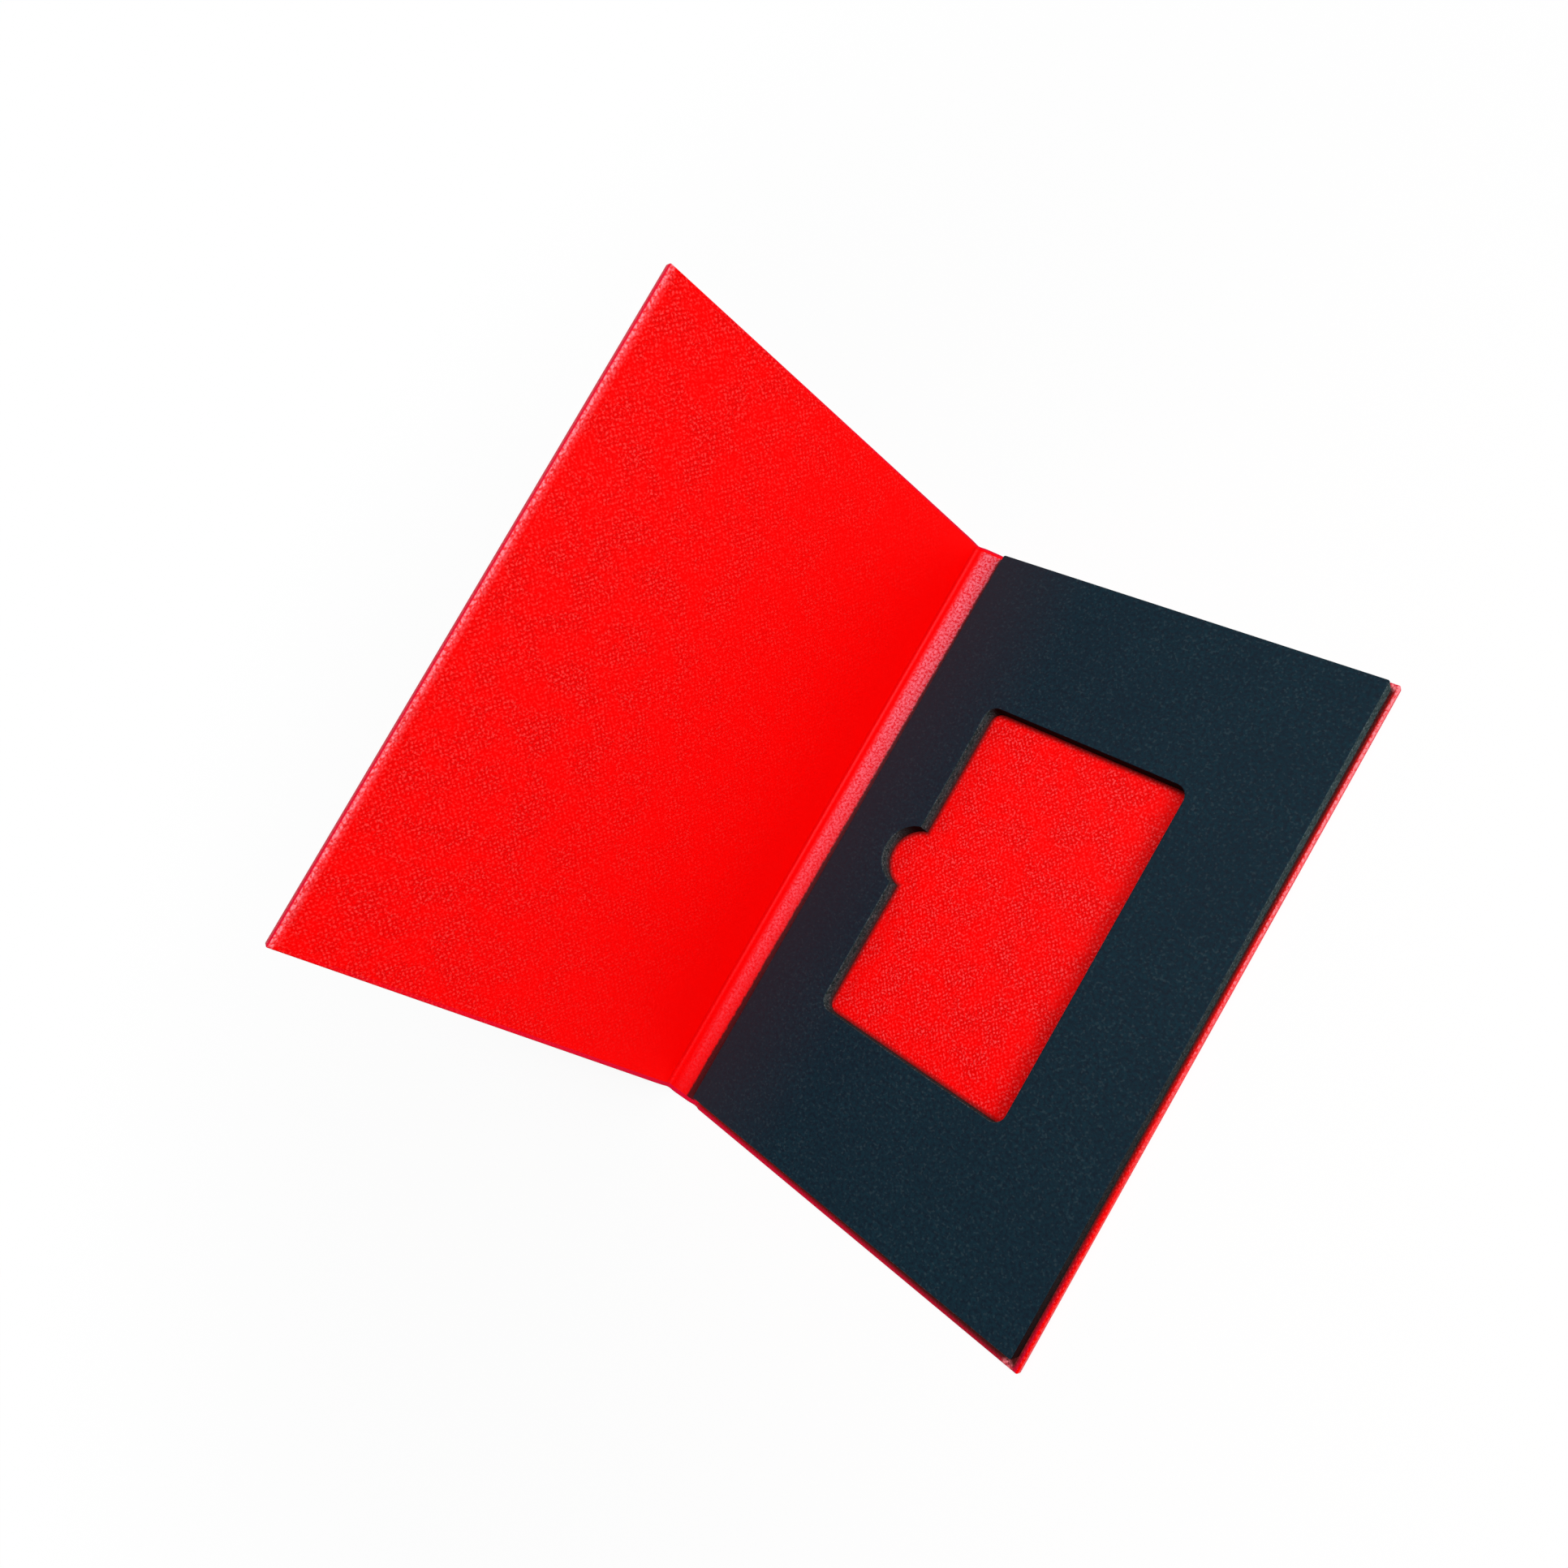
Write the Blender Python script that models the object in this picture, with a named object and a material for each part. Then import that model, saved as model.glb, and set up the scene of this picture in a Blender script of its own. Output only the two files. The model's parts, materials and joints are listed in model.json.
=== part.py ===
# Card folder: two stiff covers and a stiff spine in one turned-in paper wrap, lined with paper,
# with a card insert glued inside the back cover. Metres, +Z up.
# The back cover lies flat. X runs from its crease to its outer edge and Y along the spine.
# The origin is the centre of the back cover's underside.

import math

import bmesh
import bpy

# A cover, from its crease line to its outer edge, and along the spine
COVER_REACH = 0.1065
COVER_HEIGHT = 0.1685
COVER_CORNER_RADIUS = 0.0005

# Layers
BOARD_THICKNESS = 0.0010
WRAP_THICKNESS = 0.00025
LINING_THICKNESS = 0.0002
GLUE_GAP = 0.0003
TURN_IN = 0.012
LINING_MARGIN = 0.0012

# Creases
CREASE_CLEARANCE = 0.000025
FOLD_CLEARANCE = 0.0003
CLOSED_CLEARANCE = 0.0003
SPINE_RISE = math.radians(14.5)
COVER_RISE = math.radians(55.0)

# Insert, its card window and its thumb notch
INSERT_SIDE_MARGIN = 0.0014
INSERT_END_MARGIN = 0.00215
INSERT_THICKNESS = 0.004
INSERT_CORNER_RADIUS = 0.0006
INSERT_SETBACK = 0.0001
INSERT_SHIFT = 0.0008
WINDOW_SETBACK = 0.0194
WINDOW_WIDTH = 0.056
WINDOW_HEIGHT = 0.087
WINDOW_CORNER_RADIUS = 0.003
NOTCH_RADIUS = 0.008
NOTCH_DEPTH = 0.0064

# Cutters run past what they cut by this much
OVERRUN = 0.001

CORNER_STEPS = 6
NOTCH_STEPS = 24
SMOOTH_ANGLE = math.radians(30.0)

# Levels above a crease line, which runs in the middle of the wrap
UNDERSIDE = -WRAP_THICKNESS / 2
WRAP_TOP = UNDERSIDE + WRAP_THICKNESS
BOARD_BOTTOM = WRAP_TOP + GLUE_GAP
BOARD_TOP = BOARD_BOTTOM + BOARD_THICKNESS
TURNED_BOTTOM = BOARD_TOP + GLUE_GAP
TURNED_TOP = TURNED_BOTTOM + WRAP_THICKNESS
LINING_BOTTOM = TURNED_TOP + GLUE_GAP
LINING_TOP = LINING_BOTTOM + LINING_THICKNESS
INSERT_BOTTOM = LINING_TOP + GLUE_GAP
INSERT_TOP = INSERT_BOTTOM + INSERT_THICKNESS
GUTTER_BOTTOM = WRAP_TOP + GLUE_GAP
GUTTER_TOP = GUTTER_BOTTOM + LINING_THICKNESS

# Distances from a crease line
WRAP_START = WRAP_THICKNESS / 2 + CREASE_CLEARANCE
GUTTER_START = GUTTER_TOP + FOLD_CLEARANCE
FACE_START = LINING_TOP + FOLD_CLEARANCE
BOARD_INSET = LINING_THICKNESS + GLUE_GAP
HALF_HEIGHT = COVER_HEIGHT / 2
WRAP_AND_GAP = WRAP_THICKNESS + GLUE_GAP

# The closed spine is as tall as both covers' inner faces, the insert and its clearances
SPINE_WIDTH = 2 * LINING_TOP + GLUE_GAP + INSERT_THICKNESS + CLOSED_CLEARANCE

# Finishes: colour and roughness
WRAP_PAPER = ((0.78, 0.004, 0.006, 1.0), 0.42)
LINING_PAPER = ((0.84, 0.003, 0.005, 1.0), 0.48)
GREY_BOARD = ((0.30, 0.28, 0.25, 1.0), 0.9)
BLACK_FOAM = ((0.012, 0.017, 0.024, 1.0), 0.85)


def clear_scene():
    for item in list(bpy.data.objects):
        bpy.data.objects.remove(item, do_unlink=True)


def make_material(name, finish):
    color, roughness = finish
    material = bpy.data.materials.new(name)
    material.use_nodes = True
    shader = material.node_tree.nodes["Principled BSDF"]
    shader.inputs["Base Color"].default_value = color
    shader.inputs["Roughness"].default_value = roughness
    shader.inputs["Metallic"].default_value = 0.0
    return material


def make_frame(name, location, rise=0.0, parent=None):
    # An empty on a crease line, turned about it
    frame = bpy.data.objects.new(name, None)
    bpy.context.collection.objects.link(frame)
    frame.parent = parent
    frame.location = location
    frame.rotation_euler = (0.0, rise, 0.0)
    return frame


def arc_points(center_x, center_y, radius, start, end, steps):
    points = []
    for step in range(steps + 1):
        angle = start + (end - start) * step / steps
        points.append((center_x + radius * math.cos(angle), center_y + radius * math.sin(angle)))
    return points


def rounded_outline(x_min, x_max, y_min, y_max, near_radius, far_radius):
    # Counter-clockwise rectangle; near corners lie at x_min and far corners at x_max
    corners = (
        (x_min, y_min, near_radius, 1, 1),
        (x_max, y_min, far_radius, -1, 1),
        (x_max, y_max, far_radius, -1, -1),
        (x_min, y_max, near_radius, 1, -1),
    )
    points = []
    for turn, (x, y, radius, inward_x, inward_y) in enumerate(corners):
        if radius > 0:
            start = math.pi + turn * math.pi / 2
            center_x = x + inward_x * radius
            center_y = y + inward_y * radius
            points += arc_points(center_x, center_y, radius, start, start + math.pi / 2, CORNER_STEPS)
        else:
            points.append((x, y))
    return points


def solid_from_base(name, base_points, offset, finish, frame, turn):
    # A closed prism: the base polygon and its copy moved by the offset
    mesh = bpy.data.meshes.new(name)
    shape = bmesh.new()
    base = shape.faces.new([shape.verts.new(point) for point in base_points])
    extruded = bmesh.ops.extrude_face_region(shape, geom=[base])
    moved = [item for item in extruded["geom"] if isinstance(item, bmesh.types.BMVert)]
    bmesh.ops.translate(shape, verts=moved, vec=offset)
    bmesh.ops.recalc_face_normals(shape, faces=shape.faces)
    shape.to_mesh(mesh)
    shape.free()
    mesh.shade_smooth()
    mesh.set_sharp_from_angle(angle=SMOOTH_ANGLE)
    piece = bpy.data.objects.new(name, mesh)
    bpy.context.collection.objects.link(piece)
    piece.parent = frame
    piece.rotation_euler = (0.0, 0.0, turn)
    if finish:
        mesh.materials.append(make_material(name + "_finish", finish))
    return piece


def make_slab(name, outline, bottom, top, finish, frame, turn=0.0):
    # A flat outline in X and Y, from one level to another
    points = [(x, y, bottom) for x, y in outline]
    return solid_from_base(name, points, (0.0, 0.0, top - bottom), finish, frame, turn)


def make_strip(name, section, y_min, y_max, finish, frame, turn=0.0):
    # A section in X and Z, drawn out along the spine
    points = [(x, y_min, z) for x, z in section]
    return solid_from_base(name, points, (0.0, y_max - y_min, 0.0), finish, frame, turn)


def cut_slab(piece, label, outline, bottom, top, turn=0.0):
    cutter = make_slab(piece.name + "_" + label, outline, bottom, top, None, piece.parent, turn)
    cutter.hide_render = True
    cutter.display_type = "WIRE"
    cut = piece.modifiers.new(label, "BOOLEAN")
    cut.operation = "DIFFERENCE"
    cut.solver = "EXACT"
    cut.object = cutter


def make_cover_board(name, frame, turn):
    reach = COVER_REACH - WRAP_AND_GAP
    half = HALF_HEIGHT - WRAP_AND_GAP
    radius = max(COVER_CORNER_RADIUS - WRAP_AND_GAP, 0.0)
    outline = rounded_outline(FACE_START + BOARD_INSET, reach, -half, half, 0.0, radius)
    return make_slab(name, outline, BOARD_BOTTOM, BOARD_TOP, GREY_BOARD, frame, turn)


def make_cover_wrap(name, frame, turn):
    # A sheet under the cover, round its three free edges and turned in over its inner face
    outline = rounded_outline(WRAP_START, COVER_REACH, -HALF_HEIGHT, HALF_HEIGHT, 0.0, COVER_CORNER_RADIUS)
    wrap = make_slab(name, outline, UNDERSIDE, TURNED_TOP, WRAP_PAPER, frame, turn)

    inner_reach = COVER_REACH - WRAP_THICKNESS
    inner_half = HALF_HEIGHT - WRAP_THICKNESS
    inner_radius = max(COVER_CORNER_RADIUS - WRAP_THICKNESS, 0.0)
    pocket = rounded_outline(-OVERRUN, inner_reach, -inner_half, inner_half, 0.0, inner_radius)
    cut_slab(wrap, "board_pocket", pocket, WRAP_TOP, TURNED_BOTTOM, turn)

    open_reach = COVER_REACH - TURN_IN
    open_half = HALF_HEIGHT - TURN_IN
    middle = rounded_outline(-OVERRUN, open_reach, -open_half, open_half, 0.0, 0.0)
    cut_slab(wrap, "open_middle", middle, BOARD_TOP, TURNED_TOP + OVERRUN, turn)

    past_half = HALF_HEIGHT + OVERRUN
    gutter = rounded_outline(-OVERRUN, FACE_START + BOARD_INSET, -past_half, past_half, 0.0, 0.0)
    cut_slab(wrap, "gutter", gutter, WRAP_TOP, TURNED_TOP + OVERRUN, turn)
    return wrap


def make_cover_lining(name, frame, turn):
    # A sheet over the cover, down its board's edge at the crease and along the wrap in the gutter
    reach = COVER_REACH - LINING_MARGIN
    half = HALF_HEIGHT - LINING_MARGIN
    inner = FACE_START + LINING_THICKNESS
    section = (
        (reach, LINING_BOTTOM),
        (reach, LINING_TOP),
        (FACE_START, LINING_TOP),
        (FACE_START, GUTTER_TOP),
        (GUTTER_START, GUTTER_TOP),
        (GUTTER_START, GUTTER_BOTTOM),
        (inner, GUTTER_BOTTOM),
        (inner, LINING_BOTTOM),
    )
    return make_strip(name, section, -half, half, LINING_PAPER, frame, turn)


def make_cover(side, frame, turn=0.0):
    make_cover_board(side + "_board", frame, turn)
    make_cover_wrap("outer_wrap_" + side, frame, turn)
    make_cover_lining("lining_" + side, frame, turn)


def spine_outline(inset, half):
    return rounded_outline(-SPINE_WIDTH + inset, -inset, -half, half, 0.0, 0.0)


def make_spine_board(name, frame):
    half = HALF_HEIGHT - WRAP_AND_GAP
    outline = spine_outline(GUTTER_START + BOARD_INSET, half)
    return make_slab(name, outline, BOARD_BOTTOM, BOARD_TOP, GREY_BOARD, frame)


def make_spine_wrap(name, frame):
    # A strip under the spine, turned in over both ends of its board
    outline = spine_outline(WRAP_START, HALF_HEIGHT)
    wrap = make_slab(name, outline, UNDERSIDE, TURNED_TOP, WRAP_PAPER, frame)
    inner_half = HALF_HEIGHT - WRAP_THICKNESS
    pocket = spine_outline(-OVERRUN, inner_half)
    cut_slab(wrap, "board_pocket", pocket, WRAP_TOP, TURNED_BOTTOM)
    middle = spine_outline(-OVERRUN, HALF_HEIGHT - TURN_IN)
    cut_slab(wrap, "open_middle", middle, BOARD_TOP, TURNED_TOP + OVERRUN)

    past_half = HALF_HEIGHT + OVERRUN
    board_start = GUTTER_START + BOARD_INSET
    near = rounded_outline(-board_start, OVERRUN, -past_half, past_half, 0.0, 0.0)
    far_end = -SPINE_WIDTH - OVERRUN
    far = rounded_outline(far_end, -SPINE_WIDTH + board_start, -past_half, past_half, 0.0, 0.0)
    cut_slab(wrap, "back_gutter", near, WRAP_TOP, TURNED_TOP + OVERRUN)
    cut_slab(wrap, "front_gutter", far, WRAP_TOP, TURNED_TOP + OVERRUN)
    return wrap


def make_spine_lining(name, frame):
    # A channel over the spine board, down both its edges to the wrap
    half = HALF_HEIGHT - LINING_MARGIN
    near = -GUTTER_START
    far = -SPINE_WIDTH + GUTTER_START
    section = (
        (near, GUTTER_BOTTOM),
        (near, LINING_TOP),
        (far, LINING_TOP),
        (far, GUTTER_BOTTOM),
        (far + LINING_THICKNESS, GUTTER_BOTTOM),
        (far + LINING_THICKNESS, LINING_BOTTOM),
        (near - LINING_THICKNESS, LINING_BOTTOM),
        (near - LINING_THICKNESS, GUTTER_BOTTOM),
    )
    return make_strip(name, section, -half, half, LINING_PAPER, frame)


def window_outline(near_x, center_y):
    # The card window, with the thumb notch in the middle of its spine side
    half = WINDOW_HEIGHT / 2
    far_x = near_x + WINDOW_WIDTH
    points = rounded_outline(
        near_x, far_x, center_y - half, center_y + half, WINDOW_CORNER_RADIUS, WINDOW_CORNER_RADIUS
    )
    notch_x = near_x - NOTCH_DEPTH + NOTCH_RADIUS
    start = math.acos((near_x - notch_x) / NOTCH_RADIUS)
    end = 2 * math.pi - start
    points += arc_points(notch_x, center_y, NOTCH_RADIUS, start, end, NOTCH_STEPS)
    return points


def make_insert(name, frame):
    near_x = FACE_START + INSERT_SETBACK
    far_x = COVER_REACH - INSERT_SIDE_MARGIN
    half = HALF_HEIGHT - INSERT_END_MARGIN
    outline = rounded_outline(
        near_x, far_x, INSERT_SHIFT - half, INSERT_SHIFT + half, INSERT_CORNER_RADIUS, INSERT_CORNER_RADIUS
    )
    insert = make_slab(name, outline, INSERT_BOTTOM, INSERT_TOP, BLACK_FOAM, frame)
    window = window_outline(near_x + WINDOW_SETBACK, INSERT_SHIFT)
    cut_slab(insert, "card_window", window, INSERT_BOTTOM - OVERRUN, INSERT_TOP + OVERRUN)
    return insert


def build():
    clear_scene()
    crease = (-COVER_REACH / 2, 0.0, -UNDERSIDE)
    back_frame = make_frame("back_frame", crease)
    spine_frame = make_frame("back_crease", crease, SPINE_RISE)
    front_frame = make_frame("front_crease", (-SPINE_WIDTH, 0.0, 0.0), COVER_RISE, spine_frame)

    make_cover("back", back_frame)
    make_insert("card_insert", back_frame)

    make_spine_board("spine_board", spine_frame)
    make_spine_wrap("outer_wrap_spine", spine_frame)
    make_spine_lining("lining_spine", spine_frame)

    make_cover("front", front_frame, math.pi)


build()
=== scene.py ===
import json
import math
import bmesh
import bpy
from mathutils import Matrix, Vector


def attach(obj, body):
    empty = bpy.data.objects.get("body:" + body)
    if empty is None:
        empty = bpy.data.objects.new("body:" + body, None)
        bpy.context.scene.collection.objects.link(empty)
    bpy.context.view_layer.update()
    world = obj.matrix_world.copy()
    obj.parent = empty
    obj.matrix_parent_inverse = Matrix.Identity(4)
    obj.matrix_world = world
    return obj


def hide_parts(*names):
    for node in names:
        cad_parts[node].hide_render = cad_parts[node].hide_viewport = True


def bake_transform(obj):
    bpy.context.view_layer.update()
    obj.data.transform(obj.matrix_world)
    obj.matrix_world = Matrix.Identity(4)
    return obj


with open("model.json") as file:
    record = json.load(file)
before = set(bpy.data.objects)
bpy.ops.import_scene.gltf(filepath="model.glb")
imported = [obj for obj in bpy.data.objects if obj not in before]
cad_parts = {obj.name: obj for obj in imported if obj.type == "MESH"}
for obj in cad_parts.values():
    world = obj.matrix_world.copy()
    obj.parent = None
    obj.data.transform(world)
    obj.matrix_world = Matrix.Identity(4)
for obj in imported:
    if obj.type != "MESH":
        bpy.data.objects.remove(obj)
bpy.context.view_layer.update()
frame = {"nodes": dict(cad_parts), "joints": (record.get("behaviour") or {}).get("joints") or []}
print("frame loaded with", len(frame["nodes"]), "nodes")

mm = 0.001      # pieces are worked out in millimetres and scaled once, when they are finished
onPlane = 1e-5  # a point this near the plane of a cut counts as on it, millimetres
slack = 0.01    # and one this near a level or an edge counts as at it
spineWay = (0.0, 1.0, 0.0)
noiseMiddle = (0.3, 0.7)  # noise keeps mostly between these

# The two creases that the folder turns about, as the frame has them
creaseAt = {joint["name"]: Vector(joint["pos_m"]) / mm for joint in frame["joints"]}
backCrease = creaseAt["back_crease"]
frontCrease = creaseAt["front_crease"]
spineMiddle = (frontCrease - backCrease).length / 2

folder = {
    "spineRise": 14.5,      # how far the spine stands up from the table, degrees
    "coverRise": 69.5,      # the same for the front cover
    "creaseLevel": 0.125,   # the crease axes lie in the middle of the outer sheet
    "coverReach": 106.5,    # from a crease to the outer edge of its cover
    "coverHalf": 84.25,     # half the length along the spine
}


def flatPanel(origin, rise, side):
    # a stretch of the folder: where it starts, which way it runs and which way it faces
    turn = math.radians(rise)
    along = Vector((side * math.cos(turn), 0.0, math.sin(turn)))
    up = Vector((-side * math.sin(turn), 0.0, math.cos(turn)))
    return {"origin": origin, "along": along, "up": up}


backPanel = flatPanel(backCrease, 0.0, 1)
spineByBack = flatPanel(backCrease, folder["spineRise"], -1)
spineByFront = flatPanel(frontCrease, -folder["spineRise"], 1)
frontPanel = flatPanel(frontCrease, folder["coverRise"], -1)


def spot(part, away, level):
    # a point in the section, away from the crease along a panel and level above its underside
    return part["origin"] + part["along"] * away + part["up"] * (level - folder["creaseLevel"])


def foldSpot(one, other, level):
    # where the same level of two panels meets over the crease between them
    middle = (one["up"] + other["up"]).normalized()
    return one["origin"] + middle * (level - folder["creaseLevel"]) / middle.dot(one["up"])


# Mesh helpers

def roundCorners(bm, verts, roundings, steps):
    for vert, rounding in zip(verts, roundings):
        if rounding:
            bmesh.ops.bevel(bm, geom=[vert], offset=rounding, offset_type="OFFSET", segments=steps,
                            profile=0.5, affect="VERTICES", material=-1)


def roundEdges(bm, edges, rounding, steps):
    return bmesh.ops.bevel(bm, geom=edges, offset=rounding, offset_type="OFFSET", segments=steps,
                           profile=0.5, affect="EDGES", material=-1)


def slideAlong(bm, swept, length):
    # moves what has just been extruded along the spine
    bmesh.ops.translate(bm, vec=(0.0, length, 0.0),
                        verts=[one for one in swept if isinstance(one, bmesh.types.BMVert)])


def cutAcross(bm, point, direction):
    bmesh.ops.bisect_plane(bm, geom=bm.verts[:] + bm.edges[:] + bm.faces[:], dist=onPlane,
                           plane_co=point, plane_no=direction)


def faceTheEye(bm, part):
    # turns an open sheet so that it faces out of the folder's inner side
    bmesh.ops.recalc_face_normals(bm, faces=bm.faces[:])
    widest = max(bm.faces, key=lambda face: face.calc_area())
    if widest.normal.dot(part["up"]) < 0:
        bmesh.ops.reverse_faces(bm, faces=bm.faces[:])


shading = {
    "broadFace": 100.0,     # a face of more square millimetres keeps its own flat normal
    "endOn": 0.999,         # and so does one that looks straight along the spine
    "sharpAngle": 42.0,     # an edge that turns further stays sharp, degrees
}


def finishPiece(name, bm, materials):
    # broad flats keep their own normal, and the narrow rounded faces between them are smooth
    for face in bm.faces:
        face.smooth = (face.calc_area() < shading["broadFace"]
                       and abs(face.normal.y) < shading["endOn"])
    for edge in bm.edges:
        edge.smooth = edge.calc_face_angle(0.0) < math.radians(shading["sharpAngle"])
    bmesh.ops.scale(bm, vec=(mm, mm, mm), verts=bm.verts[:])
    mesh = bpy.data.meshes.new(name)
    bm.to_mesh(mesh)
    bm.free()
    for material in materials:
        mesh.materials.append(material)
    piece = bpy.data.objects.new(name, mesh)
    bpy.context.scene.collection.objects.link(piece)
    print(name, "made with", len(mesh.polygons), "faces")
    return piece


# Node helpers

def newMaterial(name):
    material = bpy.data.materials.new(name)
    material.use_nodes = True
    tree = material.node_tree
    tree.nodes.clear()
    output = tree.nodes.new("ShaderNodeOutputMaterial")
    return material, tree, output


def addNode(tree, kind, settings=None, **sockets):
    node = tree.nodes.new(kind)
    for key, value in (settings or {}).items():
        setattr(node, key, value)
    for key, value in sockets.items():
        plug(tree, node, key, value)
    return node


def plug(tree, node, key, value):
    # a socket's name is written without its spaces, or as a number after in
    if key.startswith("in") and key[2:].isdigit():
        socket = node.inputs[int(key[2:])]
    else:
        socket = next(one for one in node.inputs if one.name.replace(" ", "") == key)
    if isinstance(value, bpy.types.NodeSocket):
        tree.links.new(value, socket)
    else:
        socket.default_value = value


def sums(tree, operation, first, second=0.0, clamp=False):
    node = addNode(tree, "ShaderNodeMath", {"operation": operation, "use_clamp": clamp},
                   in0=first, in1=second)
    return node.outputs[0]


def spread(tree, value, low, high, newLow, newHigh, kind="LINEAR"):
    node = addNode(tree, "ShaderNodeMapRange", {"interpolation_type": kind},
                   Value=value, FromMin=low, FromMax=high, ToMin=newLow, ToMax=newHigh)
    return node.outputs["Result"]


def mixValues(tree, share, first, second):
    node = addNode(tree, "ShaderNodeMapRange", Value=share, ToMin=first, ToMax=second)
    return node.outputs["Result"]


def mixColours(tree, share, first, second):
    node = tree.nodes.new("ShaderNodeMix")
    node.data_type = "RGBA"
    sockets = [one for one in node.inputs if one.type == "RGBA"]
    for socket, value in zip([node.inputs[0]] + sockets, (share, first, second)):
        if isinstance(value, bpy.types.NodeSocket):
            tree.links.new(value, socket)
        else:
            socket.default_value = value
    return next(one for one in node.outputs if one.type == "RGBA")


def vectorMath(tree, operation, first, output="Vector", **sockets):
    node = addNode(tree, "ShaderNodeVectorMath", {"operation": operation}, in0=first, **sockets)
    return node.outputs[output]


def objectPlace(tree):
    return addNode(tree, "ShaderNodeTexCoord").outputs["Object"]


def stored(tree, name):
    # a value that the mesh carries
    return addNode(tree, "ShaderNodeAttribute", {"attribute_name": name}).outputs["Fac"]


def noise(tree, vector, scale, detail=2.0, roughness=0.5):
    node = addNode(tree, "ShaderNodeTexNoise", Vector=vector, Scale=scale, Detail=detail,
                   Roughness=roughness)
    return node.outputs["Fac"], node.outputs["Color"]


# The outer wrap, in millimetres

wrap = {
    "thickness": 0.25,
    "lipLevel": 2.44,       # the turned-in lips lie just under the lining
    "lip": 12.0,
    "rim": 0.45,            # rounding where the paper goes over a board's edge
    "rimSteps": 4,
    "cornerRadius": 0.45,
    "cornerSteps": 6,
    "midLevel": 1.2,        # about halfway up the section at the middle of the spine
    "midReach": 1.6,        # and the end to be left open lies this near
    "sideDepth": 1.4,       # the side of the free edge lies this near it
    # how squarely a face has to look in a direction to count, as a cosine
    "squarely": 0.9,
    "mostly": 0.7,
    "sideways": 0.5,
    "partly": 0.2,
    "outwards": -0.3,
    # in from each cover's free edge: where the wear and its painted highlight begin, are full and
    # end, and with a last one below nothing they run on over the edge
    "wornBands": {1: (0.66, 0.40, -1.0), -1: (1.60, 0.90, 0.34)},
    # and how much at its near end and its far end
    "wornEnds": {1: (0.0, 1.8), -1: (1.0, 1.0)},
    "wornBetween": (-45.0, 83.5),
    "sideWear": 0.06,
    "sideDull": 0.85,       # painted shade on the turns over the edges
    "endDull": 1.0,
    "creaseRounding": (0.45, 0.55),
}


# Red leather-grained paper: small raised pads in two crossing rows, over the tooth of the paper

redPaper = {
    "gap": (0.71, 0.0002, 0.0003, 1.0),      # colour between the pads
    "pad": (0.915, 0.0004, 0.0005, 1.0),     # colour of a pad
    "smooth": (0.999, 0.0003, 0.0003, 1.0),  # colour where the pads have been pressed flat, brighter as painted light towards the spine
    "crown": (0.93, 0.0370, 0.0350, 1.0),    # colour of the painted glints on top of the pads
    "worn": (0.97, 0.230, 0.265, 1.0),       # colour where an edge has been handled: wear, and painted highlight
    "dull": (0.70, 0.0040, 0.0330, 1.0),     # painted shade on the turn over the edges
    "grainOne": (0.80, 0.70),                # cycles per millimetre across and along the spine
    "grainTwo": (-0.77, 0.63),
    "wander": (0.60, 0.30),                  # how far the rows and the single pads stray, millimetres
    "wanderScales": (0.45, 1.3),             # every scale here is in cycles per millimetre
    "grainDepth": 0.10,                      # millimetres
    "toothDepth": 0.05,
    "toothScale": 1.9,
    "fade": (-80.0, -12.0, 0.06),            # the pads flatten, and their painted glints fade, from the outer edge to the spine
    "backFade": (8.0, 12.0),                 # and stand up again on the back cover
    "patchScale": 0.14,                      # they are pressed deeper and shallower in patches
    "patches": (0.38, 0.62, 0.35, 1.0),
    "padEdge": 0.35,                         # how high a pad begins to show its own colour
    "chosenScale": 0.85,                     # which pads carry a painted glint
    "chosen": (0.38, 0.62, 0.20, 1.60),
    "dots": (0.32, 0.95),
    "fleckScale": 1.7,                       # loose painted glints between the pads
    "flecks": (0.55, 0.68),
    "wearScale": 1.1,                        # how the wear and painted highlight on an edge break up, in patches and on the pads
    "wearOnPads": 0.22,
    "wearPatches": (0.44, 0.68, 0.10, 1.0),
    "roughness": (0.34, 0.46),
    "gloss": 0.046,
    "glossTint": (1.0, 0.60, 0.65, 1.0),
}

# the same paper on the outside, with its grain even all over
outsidePaper = dict(redPaper, fade=redPaper["fade"][:2] + (1.0,))

# the same paper under the insert, with a painted sheen in its colour and brighter painted glints
paperWithPaintedSheen = dict(redPaper, pad=(0.92, 0.0018, 0.0024, 1.0), crown=(0.95, 0.0600, 0.0640, 1.0))

# and where it bends over the spine, a little shinier, and carrying the painted highlight and crease
# shade
foldedPaper = dict(redPaper, smooth=(0.86, 0.0003, 0.0010, 1.0), toothDepth=0.09, gloss=0.10,
                   glossTint=(1.0, 0.75, 0.85, 1.0), roughness=(0.30, 0.42))

# painted highlight over the spine and painted shade in the crease, measured across from the spine's
# middle
paintedSpineLight = {
    "colours": ((0.70, 0.0030, 0.0110, 1.0), (0.80, 0.1600, 0.2150, 1.0)),
    "speckScale": 1.45,                # the painted highlight breaks up into specks
    "speckRoughness": 0.7,
    "specks": (0.40, 0.62),
    "reach": (-2.3, -0.1),             # it comes in over this stretch from the spine's middle
    "alongSpine": (-88.0, 35.0, 0.0),  # weaker towards the near end
    "gutter": (2.90, 3.40),            # the painted shade down in the crease beside the insert
    "gutterSlant": 0.0077,
    "raggedScale": 0.9,                # how finely its edge strays
    "raggedBy": 0.18,                  # and how far to either side
    "gutterEnd": (5.10, 6.30),         # and softly red again beyond it
    "gutterColour": (0.085, 0.0030, 0.0040, 1.0),
    "narrow": (-0.3, 2.6),             # the painted highlight falls off towards the insert over this stretch
    "narrowBy": (-60.0, 45.0, 0.9),    # most at the near end
}


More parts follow.
